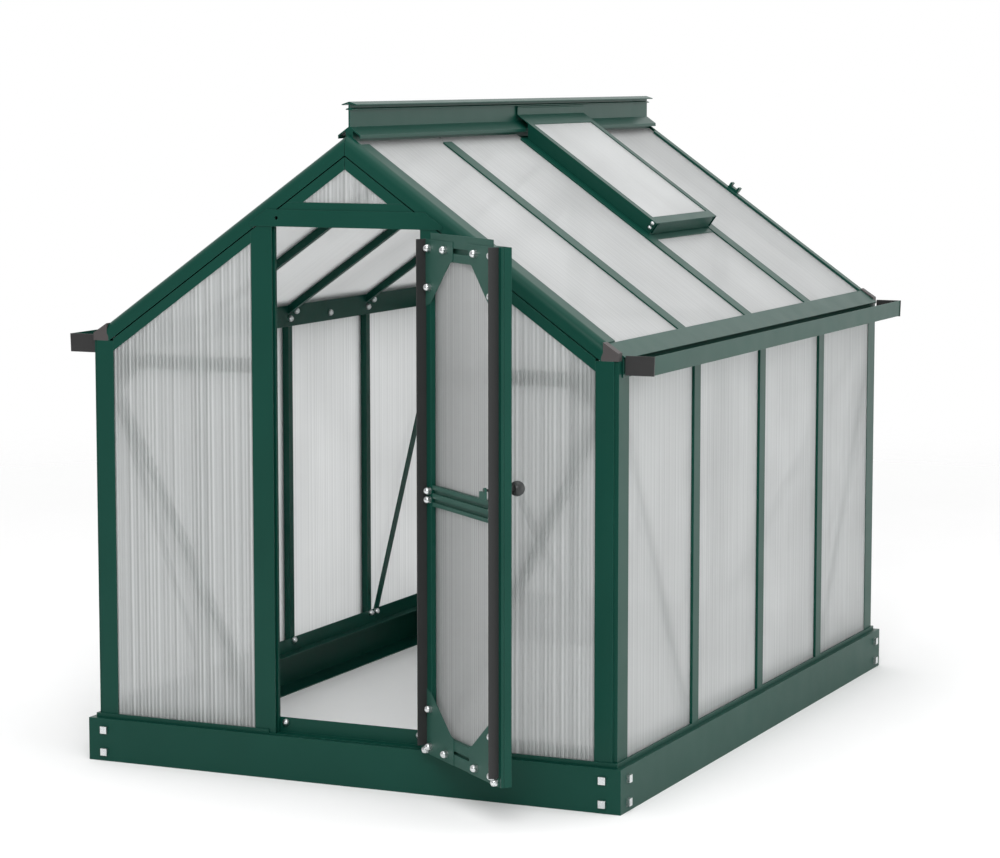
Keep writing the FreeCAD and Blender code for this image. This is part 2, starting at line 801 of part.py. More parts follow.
# Glazing of the gables
pane_z = plate_top + seat_gap
under_lip = rail_low - edge_gap
gable_edge = half_w - corner_front_leg + glazing_lip - edge_gap
side_edge = glazed + edge_gap
front_pane = prism_y(
    [(side_edge, pane_z), (gable_edge, pane_z), (gable_edge, roof_z(gable_edge, under_lip)),
     (side_edge, roof_z(side_edge, under_lip))], face + pane_front, face + pane_rear)
add("front_panels", front_pane, mirror_x(front_pane))
add("rear_panels", mirror_y(front_pane), mirror_x(mirror_y(front_pane)))
tri_z = cross_bar_top + seat_gap
tri_x = (pane_apex + under_lip / cos_p - tri_z) / tan_p
tri_top = roof_z(0, under_lip)
triangle = [(-tri_x, tri_z), (tri_x, tri_z), (0, tri_top)]
add("front_gable_pane", prism_y(triangle, face + pane_front, face + pane_rear))
mid_edge = glazed_in - edge_gap
rear_middle = prism_y(
    [(-mid_edge, pane_z), (mid_edge, pane_z), (mid_edge, roof_z(mid_edge, under_lip)), (0, tri_top),
     (-mid_edge, roof_z(mid_edge, under_lip))], face + pane_front, face + pane_rear)
add("rear_panels", mirror_y(rear_middle))

# Glazing of the side walls and the roof, one sheet to a bay
wall_end = half_l - corner_side_leg + glazing_lip - edge_gap
wall_cuts = [-wall_end]
roof_cuts = [back + edge_gap]
for row in stile_rows:
    wall_cuts += [row - stile_neck_half - edge_gap, row + stile_neck_half + edge_gap]
    roof_cuts += [row - neck_half - edge_gap, row + neck_half + edge_gap]
wall_cuts.append(wall_end)
roof_cuts.append(-back - edge_gap)
pane_start = ridge_core_half + edge_gap
pane_stop = groove_x - edge_gap
vent_bay = 2
short_start = slope_point(0, cross_rail_start + cross_rail_neck + edge_gap, 0).x
for bay in range(4):
    low, high = wall_cuts[2 * bay], wall_cuts[2 * bay + 1]
    sheet = slab(half_w - pane_rear, half_w - pane_front, low, high, pane_z, beam_bottom - seat_gap)
    add("right_wall_panels", sheet)
    add("left_wall_panels", mirror_x(sheet))
    low, high = roof_cuts[2 * bay], roof_cuts[2 * bay + 1]
    sheet = slope_bar(rect(low, high, -pane_thickness, 0))
    add("left_roof_panels", mirror_x(between_x(sheet, pane_start, pane_stop)))
    add("right_roof_panels", between_x(sheet, short_start if bay == vent_bay else pane_start, pane_stop))

# Rails, gussets and flat braces on the inside
rail_end = half_w - side_rail_end_inset
rail_start = door_in + side_rail_on_post
side_rail_top = side_rail_bottom + side_rail_height
side_rail = slab(rail_start, rail_end, back, back + side_rail_thick, side_rail_bottom, side_rail_top)
add("front_side_rails", side_rail, mirror_x(side_rail))
rear_tie = slab(-rail_end, rail_end, -back - side_rail_thick, -back, side_rail_bottom, side_rail_top)
add("rear_tie_rail", rear_tie)
gusset_out = half_w - corner_side_depth - gusset_post_gap
gusset_in = rail_end + seat_gap
gusset = prism_y(
    [(gusset_in, side_rail_top), (gusset_in, side_rail_bottom),
     (gusset_out, side_rail_bottom - gusset_foot_drop), (gusset_out, side_rail_top + gusset_top_rise)],
    back, back + gusset_thick)
add("gable_gussets", gusset, mirror_x(gusset), mirror_y(gusset), mirror_x(mirror_y(gusset)))


def strap(a, b, place, along):
    """Flat strap between two points, running past each by half its width."""
    du, dv = b[0] - a[0], b[1] - a[1]
    length = math.hypot(du, dv)
    du, dv = du / length, dv / length
    h = brace_width / 2
    corners = []
    for end, sign in ((a, -1), (b, 1)):
        u, v = end[0] + du * h * sign, end[1] + dv * h * sign
        corners += [(u - dv * h * sign, v + du * h * sign), (u + dv * h * sign, v - du * h * sign)]
    return prism(corners, place, along)


brace_y = face + sill_back
gable_foot = (door_in + gable_brace_foot_out, brace_foot_height)
gable_top = (half_w - gable_brace_top_inset, brace_top_height)
gable_brace = strap(gable_foot, gable_top, lambda u, v: V(u, brace_y, v), V(0, brace_thick, 0))
for brace in (gable_brace, mirror_y(gable_brace)):
    add("diagonal_braces", brace, mirror_x(brace))
wall_foot = (-bay_pitch - wall_brace_foot_out, brace_foot_height)
wall_top = (face + wall_brace_top_inset, brace_top_height)
wall_brace = strap(wall_foot, wall_top, lambda u, v: V(side_inner, u, v), V(-brace_thick, 0, 0))
for brace in (wall_brace, mirror_y(wall_brace)):
    add("diagonal_braces", brace, mirror_x(brace))

# Clip standing on the rear right rafter
clip_s = slope_s(clip_place, rafter_rise)
clip_stop = clip_s + clip_length
clip_low = -face - clip_from_face - clip_depth
clip = slope_rail(
    [(clip_s, rafter_rise), (clip_stop, rafter_rise), (clip_stop, rafter_rise + clip_ear),
     (clip_stop - clip_sheet, rafter_rise + clip_ear), (clip_stop - clip_sheet, rafter_rise + clip_sheet),
     (clip_s + clip_sheet, rafter_rise + clip_sheet), (clip_s + clip_sheet, rafter_rise + clip_ear),
     (clip_s, rafter_rise + clip_ear)], clip_low, clip_low + clip_depth)
add("rafter_clip", clip)

# Bolts that hold the frame together, each in its own hole
corner_nodes = ["front_right_corner_post", "front_left_corner_post", "rear_corner_posts"]
for side in (-1, 1):
    into = V(side, 0, 0)
    for row in stile_rows:
        foot = V(side * side_inner, row, base_height + sill_bolt_height)
        fasten("frame_bolts", foot, into, ["side_sills", "wall_stiles"])
        eave_spots = [(row, eave_bolt_rise), (row + eave_bar_bolt_shift, eave_bar_bolt_rise),
                      (row - bay_pitch / 2, eave_bolt_rise)]
        for y, rise in eave_spots:
            fasten("frame_bolts", V(side * beam_in, y, beam_bottom + rise), into, ["eave_rails"])
    for end in (-1, 1):
        strap_x = side * (side_inner - brace_thick)
        foot = V(strap_x, end * -wall_foot[0], wall_foot[1])
        fasten("frame_bolts", foot, into, ["diagonal_braces", "side_sills"])
        grip = rail_bolt_grip + sill_back - corner_side_depth
        top = V(strap_x, end * -wall_top[0], wall_top[1])
        fasten("frame_bolts", top, into, ["diagonal_braces"] + corner_nodes, grip=grip)
        along = V(0, end, 0)
        strap_y = -end * (brace_y + brace_thick)
        foot = V(side * gable_foot[0], strap_y, gable_foot[1])
        fasten("frame_bolts", foot, along, ["diagonal_braces", "front_sill", "rear_sill"])
        top = V(side * gable_top[0], strap_y, gable_top[1])
        fasten("frame_bolts", top, along, ["diagonal_braces", "gable_gussets"] + corner_nodes)
    fasten("frame_bolts", V(side * (door_in - doorway_bolt_inset), face + sill_back - sill_plate,
                            base_height + doorway_bolt_height), V(0, 1, 0), ["front_sill"])
    middle = side_rail_bottom + side_rail_height / 2
    for end, rail in ((-1, "front_side_rails"), (1, "rear_tie_rail")):
        spot = V(side * (rail_start + rail_bolt_radius + edge_gap), -end * (back + side_rail_thick), middle)
        fasten("frame_bolts", spot, V(0, end, 0), [rail, "left_door_post", "right_door_post", "rear_mid_posts"],
               grip=rail_bolt_grip + side_rail_thick)

# Roof vent: rails round a sheet, hooked under the ridge's lip
vent_low = bar_rise + vent_seat_gap
vent_y0 = bar_half - vent_lap
vent_y1 = bay_pitch - vent_y0
lip_m = vent_rise - vent_lip
ledge_m = lip_m - slot_gap - pane_thickness - slot_gap


def vent_section(sign, edge):
    def at(u, m):
        return (edge + sign * u, m)
    points = [at(0, vent_low), at(vent_box, vent_low), at(vent_box, ledge_m - vent_ledge_thick),
              at(vent_box + vent_ledge, ledge_m - vent_ledge_thick), at(vent_box + vent_ledge, ledge_m),
              at(vent_box, ledge_m), at(vent_box, lip_m), at(vent_rail, lip_m), at(vent_rail, vent_rise),
              at(0, vent_rise)]
    core = [at(w, vent_low + w), at(vent_box - w, vent_low + w), at(vent_box - w, vent_rise - w),
            at(w, vent_rise - w)]
    return points, core


def slope_piece(section, low_x, end_s):
    points, core = section
    shape = slope_bar(points, [core])
    limit = slope_rail(rect(-far, end_s, -far, far), -far, far)
    return between_x(shape, low_x, far).common(limit)


rail_a = slope_piece(vent_section(1, vent_y0), vent_start, vent_end)
rail_b = slope_piece(vent_section(-1, vent_y1), vent_start, vent_end)
add("vent_side_rails", rail_a, rail_b)
points, core = vent_section(-1, vent_end)
inner_y0 = vent_y0 + vent_rail + slot_gap
inner_y1 = vent_y1 - vent_rail - slot_gap
beam_y0 = vent_y0 + vent_box + slot_gap
beam_y1 = vent_y1 - vent_box - slot_gap
box_high = ledge_m - vent_ledge_thick - slot_gap
bottom_box = slope_rail(rect(vent_end - vent_box, vent_end, vent_low, box_high), beam_y0, beam_y1)
bottom_top = slope_rail(points, inner_y0, inner_y1)
bottom_rail = joined([bottom_top, bottom_box])
add("vent_bottom_rail", bottom_rail.cut(slope_rail(core, beam_y0 + w, beam_y1 - w)))

hook_z = pane_apex + ridge_rise - hook_drop
plate_bottom = lip_m
hook_left = hook_x - hook_plate / 2
hook_right = hook_left + hook_plate
lap_x = vent_start + vent_top_lap
top_points = [(hook_left, hook_z), (hook_left, roof_z(hook_left, plate_bottom)),
              (vent_start - slot_gap, roof_z(vent_start - slot_gap, plate_bottom)),
              (vent_start - slot_gap, roof_z(vent_start - slot_gap, vent_rise)),
              (hook_right, roof_z(hook_right, vent_rise)), (hook_right, hook_z)]
lap_in = vent_start - edge_gap
top_lap = prism_y([(lap_in, roof_z(lap_in, plate_bottom)), (lap_x, roof_z(lap_x, plate_bottom)),
                   (lap_x, roof_z(lap_x, vent_rise)), (lap_in, roof_z(lap_in, vent_rise))], inner_y0, inner_y1)
top_rail = joined([prism_y(top_points, vent_y0, vent_y1), top_lap,
                   rod(V(hook_x, vent_y0, hook_z), V(0, 1, 0), hook_bead, vent_y1 - vent_y0)])
add("vent_top_rail", top_rail)
vent_sheet = slope_bar(rect(vent_y0 + vent_box + edge_gap, vent_y1 - vent_box - edge_gap,
                            ledge_m + slot_gap, lip_m - slot_gap))
sheet_limit = slope_rail(rect(-far, vent_end - vent_box - edge_gap, -far, far), -far, far)
add("vent_pane", between_x(vent_sheet, vent_start + edge_gap, far).common(sheet_limit))

for edge, into in ((vent_y0, V(0, 1, 0)), (vent_y1, V(0, -1, 0))):
    for step in range(2):
        bolt_m = vent_low + vent_bolt_rise + step * vent_bolt_step - w
        spot = slope_point(edge, vent_end - vent_bolt_inset, bolt_m)
        fasten("vent_bolts", spot, into, ["vent_side_rails"], vent_bolt_radius, vent_bolt_height)

# Cross rail in the roof under the vent's foot, with a peg for the stay
cross_s1 = cross_rail_start + cross_rail_width
neck_s = cross_rail_start + cross_rail_neck
lap_s = cross_rail_start + cross_rail_lap
rail_y0 = bar_body_half + slot_gap
cross_rail = joined([
    slope_rail(rect(cross_rail_start, cross_s1, -bar_body_drop, slot_low), rail_y0, bay_pitch - rail_y0,
               [rect(cross_rail_start + w, cross_s1 - w, -bar_body_drop + w, slot_low - w)]),
    slope_rail([(cross_rail_start, slot_low), (neck_s, slot_low), (neck_s, slot_high), (lap_s, slot_high),
                (lap_s, cross_rail_cover), (cross_rail_start, cross_rail_cover)],
               bar_half + slot_gap, bay_pitch - bar_half - slot_gap)])
stay_y = bay_pitch / 2
down_slope = V(cos_p, 0, -sin_p)
off_slope = V(sin_p, 0, cos_p)
peg_tip = slope_point(stay_y, cross_rail_start - peg_length, -peg_drop)
peg = joined([rod(peg_tip, down_slope, peg_radius, peg_length), rod(peg_tip, down_slope, peg_head, stay_thick)])
add("vent_cross_rail", joined([cross_rail, peg]))

# Stay: a flat bar with holes that turns on a pin under the vent's foot
pin_s = vent_end - vent_box - stay_pin_out
pin_m = vent_low + stay_pin_rise
pin_at = slope_point(0, pin_s, pin_m)
half_stay = stay_width / 2
barrel = rod(V(pin_at.x, stay_y - half_stay, pin_at.z), V(0, 1, 0), stay_barrel, stay_width)
blade = slope_rail(rect(pin_s - stay_length, pin_s, pin_m - stay_thick / 2, pin_m + stay_thick / 2),
                   stay_y - half_stay, stay_y + half_stay)
stay = joined([barrel, blade])
pin_bore = stay_pin_radius + stay_pin_clearance
stay = stay.cut(rod(V(pin_at.x, stay_y - stay_width, pin_at.z), V(0, 1, 0), pin_bore, 2 * stay_width))
for k in range(stay_holes):
    spot = slope_point(stay_y, pin_s - stay_length + stay_hole_pitch * (k + 0.5), pin_m - stay_width)
    stay = stay.cut(rod(spot, off_slope, stay_hole_radius, 2 * stay_width))
add("vent_stay", stay)
lug_y0 = stay_y - half_stay - stay_side_gap - stay_lug
lug_y1 = stay_y + half_stay + stay_side_gap
lug_points = [(pin_s - stay_barrel, pin_m - stay_barrel), (vent_end - vent_box, pin_m - stay_barrel),
              (vent_end - vent_box, pin_m + stay_barrel), (pin_s - stay_barrel, pin_m + stay_barrel)]
bracket_pin = rod(V(pin_at.x, lug_y0, pin_at.z), V(0, 1, 0), stay_pin_radius, lug_y1 + stay_lug - lug_y0)
add("vent_stay_bracket", joined([slope_rail(lug_points, lug_y0, lug_y0 + stay_lug),
                                 slope_rail(lug_points, lug_y1, lug_y1 + stay_lug), bracket_pin]))

# Door leaf, built closed in front of the posts
leaf_in = face - door_post_gap
leaf_out = leaf_in - door_thick
glass_in = leaf_in - door_pane_back
glass_out = glass_in - pane_thickness
stile_in = door_half - door_stile
entry = stile_in + door_pane_entry + edge_gap / 2
groove_y = leaf_in - door_edge_groove_back
slot_in = glass_in + seat_gap
slot_out = glass_out - seat_gap
hinge_stile = prism_z(
    [(stile_in, leaf_out), (door_half, leaf_out), (door_half, leaf_in), (stile_in, leaf_in),
     (stile_in, slot_in), (entry, slot_in), (entry, slot_out), (stile_in, slot_out)], door_bottom, door_top,
    [rect(entry + w, door_half - 2 * w, leaf_out + w, leaf_in - w)])
edge_cut = slab(door_half - door_edge_groove_depth, door_half + edge_gap, groove_y - door_edge_groove, groove_y,
                door_bottom - edge_gap, door_top + edge_gap)
add("door_stiles", hinge_stile, mirror_x(hinge_stile.cut(edge_cut)))

rail_half = stile_in - slot_gap
top_low = door_top - door_top_rail
slot_z0 = top_low + door_slot_low
lip_wall = leaf_in - header_thick
top_rail_section = [
    (leaf_out, top_low), (slot_out, top_low), (slot_out, top_low + door_pane_entry),
    (slot_in, top_low + door_pane_entry), (slot_in, top_low), (leaf_in, top_low),
    (leaf_in, slot_z0), (leaf_in - door_slot_depth, slot_z0),
    (leaf_in - door_slot_depth, slot_z0 + door_slot_height), (leaf_in, slot_z0 + door_slot_height),
    (leaf_in, door_top + door_lip), (lip_wall, door_top + door_lip), (lip_wall, door_top), (leaf_out, door_top)]
add("door_top_rail", prism_x(top_rail_section, -rail_half, rail_half,
                             [rect(leaf_out + w, lip_wall - door_slot_depth, slot_z0 + w, door_top - w)]))
bottom_top_z = door_bottom + door_bottom_rail
pane_seat = bottom_top_z - door_pane_entry
foot_slot = door_bottom + door_foot_slot_low
foot_slot_top = foot_slot + door_foot_slot_height
foot_slot_in = leaf_in - door_slot_depth
bottom_section = [
    (leaf_out, door_bottom), (leaf_in, door_bottom), (leaf_in, foot_slot), (foot_slot_in, foot_slot),
    (foot_slot_in, foot_slot_top), (leaf_in, foot_slot_top), (leaf_in, bottom_top_z), (slot_in, bottom_top_z),
    (slot_in, pane_seat), (slot_out, pane_seat), (slot_out, bottom_top_z), (leaf_out, bottom_top_z)]
add("door_bottom_rail", prism_x(bottom_section, -rail_half, rail_half,
                                [rect(leaf_out + w, foot_slot_in - w, door_bottom + w, pane_seat - w)]))
mid_face = glass_in + door_mid_rib
mid_valley = mid_face - door_mid_channel
mid_outer = glass_out - door_mid_back
z_a = door_mid_height - door_mid_half
z_b = z_a + door_mid_rib
z_c = door_mid_height - door_mid_core
z_d = door_mid_height + door_mid_core
z_e = door_mid_height + door_mid_half - door_mid_rib
z_f = door_mid_height + door_mid_half
mid_section = [
    (mid_outer, z_a), (slot_out, z_a), (slot_out, z_a + door_pane_entry), (slot_in, z_a + door_pane_entry),
    (slot_in, z_a), (mid_face, z_a), (mid_face, z_b), (mid_valley, z_b), (mid_valley, z_c), (mid_face, z_c),
    (mid_face, z_d), (mid_valley, z_d), (mid_valley, z_e), (mid_face, z_e), (mid_face, z_f), (slot_in, z_f),
    (slot_in, z_f - door_pane_entry), (slot_out, z_f - door_pane_entry), (slot_out, z_f), (mid_outer, z_f)]
add("door_mid_rail", prism_x(mid_section, -rail_half, rail_half))
pane_half = stile_in + door_pane_entry
for low, high in ((pane_seat, z_a + door_pane_entry), (z_f - door_pane_entry, top_low + door_pane_entry)):
    add("door_panes", slab(-pane_half, pane_half, glass_out, glass_in, low + seat_gap, high - seat_gap))

seal_out = door_in - seal_post_gap
seal_in = seal_out - seal_thick
seal = slab(seal_in, seal_out, leaf_in, leaf_in + seal_depth, door_bottom + seal_foot, door_top)
add("door_seals", seal, mirror_x(seal))
gusset_edge = seal_in - door_gusset_run
step_x = gusset_edge + door_gusset_step
gusset_face = leaf_in + door_gusset_thick
upper = [(seal_in - slot_gap, door_top), (gusset_edge, door_top),
         (gusset_edge, door_top - door_gusset_edge, door_gusset_round),
         (step_x, door_top - door_gusset_edge - door_gusset_fall),
         (stile_in, door_top - door_gusset_side + 2 * door_gusset_fall, door_gusset_round),
         (seal_in - slot_gap, door_top - door_gusset_side)]
tab_top = door_bottom + seal_foot - seat_gap
lower = [(seal_in - slot_gap, tab_top), (door_gusset_tab, tab_top), (door_gusset_tab, door_bottom),
         (gusset_edge, door_bottom),
         (gusset_edge, door_bottom + door_gusset_foot_edge, door_gusset_round),
         (step_x, door_bottom + door_gusset_foot_edge + door_gusset_fall),
         (stile_in, door_bottom + door_gusset_side - 2 * door_gusset_fall, door_gusset_round),
         (seal_in - slot_gap, door_bottom + door_gusset_side)]
for section in (upper, lower):
    plate = prism_y(section, leaf_in, gusset_face)
    add("door_gussets", plate, mirror_x(plate))

outward = V(0, -1, 0)
leaf_nodes = ["door_stiles", "door_top_rail", "door_bottom_rail", "door_gussets"]


def door_bolt(x, y, z):
    fasten("door_bolts", V(x, y, z), outward, leaf_nodes, height=door_bolt_height)


for side in (-1, 1):
    for z in (door_top - door_bolt_end, door_bottom + door_bolt_end):
        door_bolt(side * door_bolt_x_outer, gusset_face, z)
        door_bolt(side * door_bolt_x_inner, gusset_face, z)
    for z in (door_top - door_bolt_side, door_bottom + door_bolt_side):
        door_bolt(side * door_bolt_x_outer, gusset_face, z)
    door_bolt(side * seal_bolt_x, gusset_face, door_bottom + seal_bolt_end)
    for z in (z_b + door_mid_bolt_rise, z_e - door_mid_bolt_drop):
        door_bolt(side * (door_bolt_x_outer + door_mid_bolt_shift), leaf_in, z)

# Hinges: post leaf with the lower knuckle, door leaf with the upper one
bore = hinge_pin_radius + hinge_pin_clearance
for z in hinge_rows:
    axis_low = V(hinge_axis_x, hinge_y, z - hinge_half)
    post_leaf = joined([
        slab(hinge_axis_x - hinge_leaf, door_out - hinge_leaf, face - hinge_leaf, face,
             z - hinge_half, z - hinge_split),
        slab(hinge_axis_x - hinge_leaf, hinge_axis_x + hinge_leaf, hinge_y, face,
             z - hinge_half, z - hinge_split),
        rod(axis_low, V(0, 0, 1), knuckle_radius, hinge_half - hinge_split)])
    door_leaf = joined([
        slab(door_half, door_half + hinge_leaf, leaf_out, leaf_in, z + hinge_split, z + hinge_half),
        slab(door_half, hinge_axis_x, hinge_y - hinge_leaf / 2, hinge_y + hinge_leaf / 2,
             z + hinge_split, z + hinge_half),
        rod(V(hinge_axis_x, hinge_y, z + hinge_split), V(0, 0, 1), knuckle_radius, hinge_half - hinge_split)])
    hole = rod(V(hinge_axis_x, hinge_y, z - far / 2), V(0, 0, 1), bore, far)
    add("hinge_post_leaves", post_leaf.cut(hole))
    add("hinge_door_leaves", door_leaf.cut(hole))
    pin = joined([rod(axis_low, V(0, 0, 1), hinge_pin_radius, 2 * hinge_half + hinge_split),
                  rod(V(hinge_axis_x, hinge_y, z + hinge_half + hinge_split), V(0, 0, 1), hinge_pin_head,
                      hinge_pin_head_height)])
    add("hinge_pins", pin)

# Latch: spindle through the free stile, knob outside, lever inside
latch_x = -door_half + latch_in
spindle_start = V(latch_x, leaf_out - knob_centre_out, latch_height)
lever_y = leaf_in + lever_front
spindle = rod(spindle_start, V(0, 1, 0), spindle_radius, lever_y - spindle_start.y + lever_thick)
knob_stop = spindle_start.y + knob_back
knob = Part.makeSphere(knob_radius, spindle_start).common(slab(-far, far, -far, knob_stop, -far, far))
neck = rod(spindle_start, V(0, 1, 0), knob_neck, knob_centre_out - seat_gap)
add("latch_knob", joined([knob, neck, spindle]))
spindle_hole = rod(spindle_start, V(0, 1, 0), spindle_radius + spindle_clearance, lever_y - spindle_start.y)
drill(["door_stiles"], spindle_hole)
lever = joined([
    slab(latch_x - lever_tail, latch_x + lever_reach, lever_y, lever_y + lever_thick,
         latch_height - lever_drop - lever_height / 2, latch_height - lever_drop + lever_height / 2),
    rod(V(latch_x, lever_y, latch_height), V(0, 1, 0), lever_hub, lever_thick)])
add("latch_lever", lever.cut(rod(spindle_start, V(0, 1, 0), spindle_radius, far)))

# Everything that swings with the door is turned to the open pose
door_nodes = ["door_stiles", "door_top_rail", "door_mid_rail", "door_bottom_rail", "door_panes",
              "door_gussets", "door_seals", "door_bolts", "hinge_door_leaves", "latch_knob", "latch_lever"]
for node in door_nodes:
    for solid in shapes[node]:
        solid.rotate(V(hinge_axis_x, hinge_y, 0), V(0, 0, 1), door_open_angle)

for node, solids in shapes.items():
    whole = solids[0] if len(solids) == 1 else Part.makeCompound(solids)
    whole.exportStep("parts/%s.step" % node)
    print(node, len(solids), "solids", round(sum(s.Volume for s in solids) / 1000), "cm3", whole.isValid())
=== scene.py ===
# %% [markdown]
# # A small walk-in greenhouse
# The real object is a green powder-coated aluminium frame on a folded steel base, glazed with
# pale twin-wall plastic sheets. Its measured shape comes packed as a fixed frame, and this
# lesson dresses it: the finishes, the fine ribs inside the sheets, the studio and the camera.
# Loading the frame first means that every finish and every added piece shares its coordinates.

import math
import bpy
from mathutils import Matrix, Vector


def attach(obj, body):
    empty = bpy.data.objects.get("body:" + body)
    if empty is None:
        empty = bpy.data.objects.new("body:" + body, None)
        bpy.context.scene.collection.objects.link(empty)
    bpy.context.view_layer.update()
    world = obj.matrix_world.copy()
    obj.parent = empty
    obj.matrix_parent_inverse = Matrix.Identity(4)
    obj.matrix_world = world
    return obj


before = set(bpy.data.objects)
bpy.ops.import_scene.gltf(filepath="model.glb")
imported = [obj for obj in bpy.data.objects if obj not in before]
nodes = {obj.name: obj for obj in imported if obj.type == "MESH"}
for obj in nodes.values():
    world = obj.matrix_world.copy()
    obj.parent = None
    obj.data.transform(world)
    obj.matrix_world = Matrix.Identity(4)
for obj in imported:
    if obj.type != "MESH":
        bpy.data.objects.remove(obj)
scene = bpy.context.scene
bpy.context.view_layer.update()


def to_millimetre(corner):
    """A corner in metres, rounded for printing."""
    return [round(value, 3) for value in corner]


# %% [markdown]
# ## Writing shader maths as expressions
# A finish is a small sum: paint colour plus paler edges, part wear and part painted highlight,
# roughness plus a little noise. Wiring each Math node by hand hides that sum, so one class wraps an
# output socket and turns Python's operators into nodes. Every other node is added through its single
# `node` method.

# %% A value in a shader tree
class Value:
    """An output socket; operators on it add Math nodes to the same tree."""

    def __init__(self, tree, socket):
        self.tree = tree
        self.socket = socket

    def node(self, kind, settings, inputs, output=0):
        """Add a node: its settings first, then the values or links of its sockets."""
        made = self.tree.nodes.new(kind)
        for key, setting in settings.items():
            setattr(made, key, setting)
        for key, value in inputs.items():
            if isinstance(value, Value):
                self.tree.links.new(value.socket, made.inputs[key])
            else:
                made.inputs[key].default_value = value
        return Value(self.tree, made.outputs[output])

    def maths(self, operation, first, second):
        return self.node("ShaderNodeMath", {"operation": operation}, {0: first, 1: second})

    def __add__(self, other):
        return self.maths("ADD", self, other)

    def __radd__(self, other):
        return self.maths("ADD", other, self)

    def __sub__(self, other):
        return self.maths("SUBTRACT", self, other)

    def __rsub__(self, other):
        return self.maths("SUBTRACT", other, self)

    def __mul__(self, other):
        return self.maths("MULTIPLY", self, other)

    def __rmul__(self, other):
        return self.maths("MULTIPLY", other, self)


print("operators of a value: + - *")


# %% Helpers for finishes
def start_finish(name):
    """A new material, its one Principled shader and its Object coordinates."""
    material = bpy.data.materials.new(name)
    material.use_nodes = True
    tree = material.node_tree
    tree.nodes.clear()
    shader = tree.nodes.new("ShaderNodeBsdfPrincipled")
    output = tree.nodes.new("ShaderNodeOutputMaterial")
    tree.links.new(shader.outputs[0], output.inputs[0])
    coords = tree.nodes.new("ShaderNodeTexCoord")
    return material, shader, Value(tree, coords.outputs["Object"])


def link(value, node, socket):
    """Feed a value into a named socket of a node."""
    value.tree.links.new(value.socket, node.inputs[socket])


def noise(coords, scale, detail=3.0):
    """Soft noise between 0 and 1."""
    return coords.node("ShaderNodeTexNoise", {}, {"Vector": coords, "Scale": scale, "Detail": detail})


def stretched(coords, scale):
    """Coordinates with a scale of their own on each axis."""
    return coords.node("ShaderNodeMapping", {}, {"Vector": coords, "Scale": scale})


def ramp(value, low, high):
    """Smooth 0 to 1 step between two levels of a value."""
    settings = {"interpolation_type": "SMOOTHSTEP"}
    return value.node("ShaderNodeMapRange", settings, {0: value, 1: low, 2: high})


def dot(first, second):
    """How far one vector reaches along another."""
    settings = {"operation": "DOT_PRODUCT"}
    return first.node("ShaderNodeVectorMath", settings, {0: first, 1: second}, output=1)


def mix_colour(mask, first, second):
    """From one colour to the other; the Mix node lists its colours after numbers and vectors."""
    return mask.node("ShaderNodeMix", {"data_type": "RGBA"}, {0: mask, 6: first, 7: second}, output=2)


def bump(height, strength, distance, normal=None):
    """A normal bent by a height, on top of another normal if one is given."""
    inputs = {"Height": height, "Strength": strength, "Distance": distance}
    if normal is not None:
        inputs["Normal"] = normal
    return height.node("ShaderNodeBump", {}, inputs)


edge_start, edge_full = 0.004, 0.12


def sharp_edges(coords, radius):
    """Mask of the sharp edges, where a rounded normal leaves the flat one, and that normal."""
    rounded = coords.node("ShaderNodeBevel", {"samples": 4}, {"Radius": radius})
    flat = coords.node("ShaderNodeNewGeometry", {}, {}, output="Normal")
    return ramp(1.0 - dot(rounded, flat), edge_start, edge_full), rounded


print("shader helpers ready")


# %% [markdown]
# ## Powder-coated green bars
# Powder coat is sprayed dry and baked, so it is satin and slightly pebbled like orange peel. Its sharp
# corners are paler, partly thin worn coat and partly a painted highlight of the light that rounded
# edges catch. A low index of refraction keeps the front faces deep green while faces seen at a slant
# turn grey-green, as on the real bars.

# %% Green finishes
coat_low = (0.0018, 0.0390, 0.0265, 1.0)
coat_high = (0.0036, 0.0520, 0.0365, 1.0)
# The door's greens are the frame's green made lighter: painted light for the faces of the open door.
door_coat_lit_low = (0.016, 0.060, 0.046, 1.0)
door_coat_lit_high = (0.023, 0.078, 0.060, 1.0)
# Bright green of the edges: part worn coat, part painted highlight.
coat_edge_wear_and_highlight = (0.0320, 0.1150, 0.0900, 1.0)
coat_index = 1.26
coat_corner = 0.0016
drift_scale, smudge_scale, wear_and_highlight_scale, pebble_scale = 3.0, 11.0, 38.0, 420.0


def green_coat(name, low, high, roughness):
    """Satin coat between two greens, pebbled, and paler at edges: part thin coat, part painted
    highlight.
    """
    material, shader, coords = start_finish(name)
    pebble = noise(coords, pebble_scale, detail=2.0)
    edges, rounded = sharp_edges(coords, coat_corner)
    tint = mix_colour(noise(coords, drift_scale), low, high)
    # Paler edges: part wear, part painted highlight of rounded corners.
    wear_and_highlight = edges * (0.35 + 0.4 * noise(coords, wear_and_highlight_scale))
    smudge = 0.10 * noise(coords, smudge_scale) - 0.05
    link(mix_colour(wear_and_highlight, tint, coat_edge_wear_and_highlight), shader, "Base Color")
    link(roughness + smudge + 0.04 * pebble, shader, "Roughness")
    link(bump(pebble, strength=0.10, distance=0.0006, normal=rounded), shader, "Normal")
    shader.inputs["IOR"].default_value = coat_index
    return material


frame_green = green_coat("frame_green", coat_low, coat_high, roughness=0.36)
base_green = green_coat("base_green", coat_low, coat_high, roughness=0.40)
# The door's coat is painted lighter, standing in for the light its open faces catch.
door_lit_green = green_coat("door_lit_green", door_coat_lit_low, door_coat_lit_high, roughness=0.42)
print("green finishes:", frame_green.name, base_green.name, door_lit_green.name)


# %% [markdown]
# ## Zinc bolts, black plastic and rubber
# The bolts are bright zinc with fine turning marks and a faint cloudiness. The gutter ends,
# eave caps and knob are moulded plastic with a fine spark grain. The door seals are extruded
# rubber, so their marks run along their length.

# %% Zinc
zinc_dull = (0.56, 0.58, 0.59, 1.0)
zinc_bright = (0.80, 0.82, 0.82, 1.0)
cloud_scale, polish_scale, turning_scale = 60.0, 240.0, 900.0


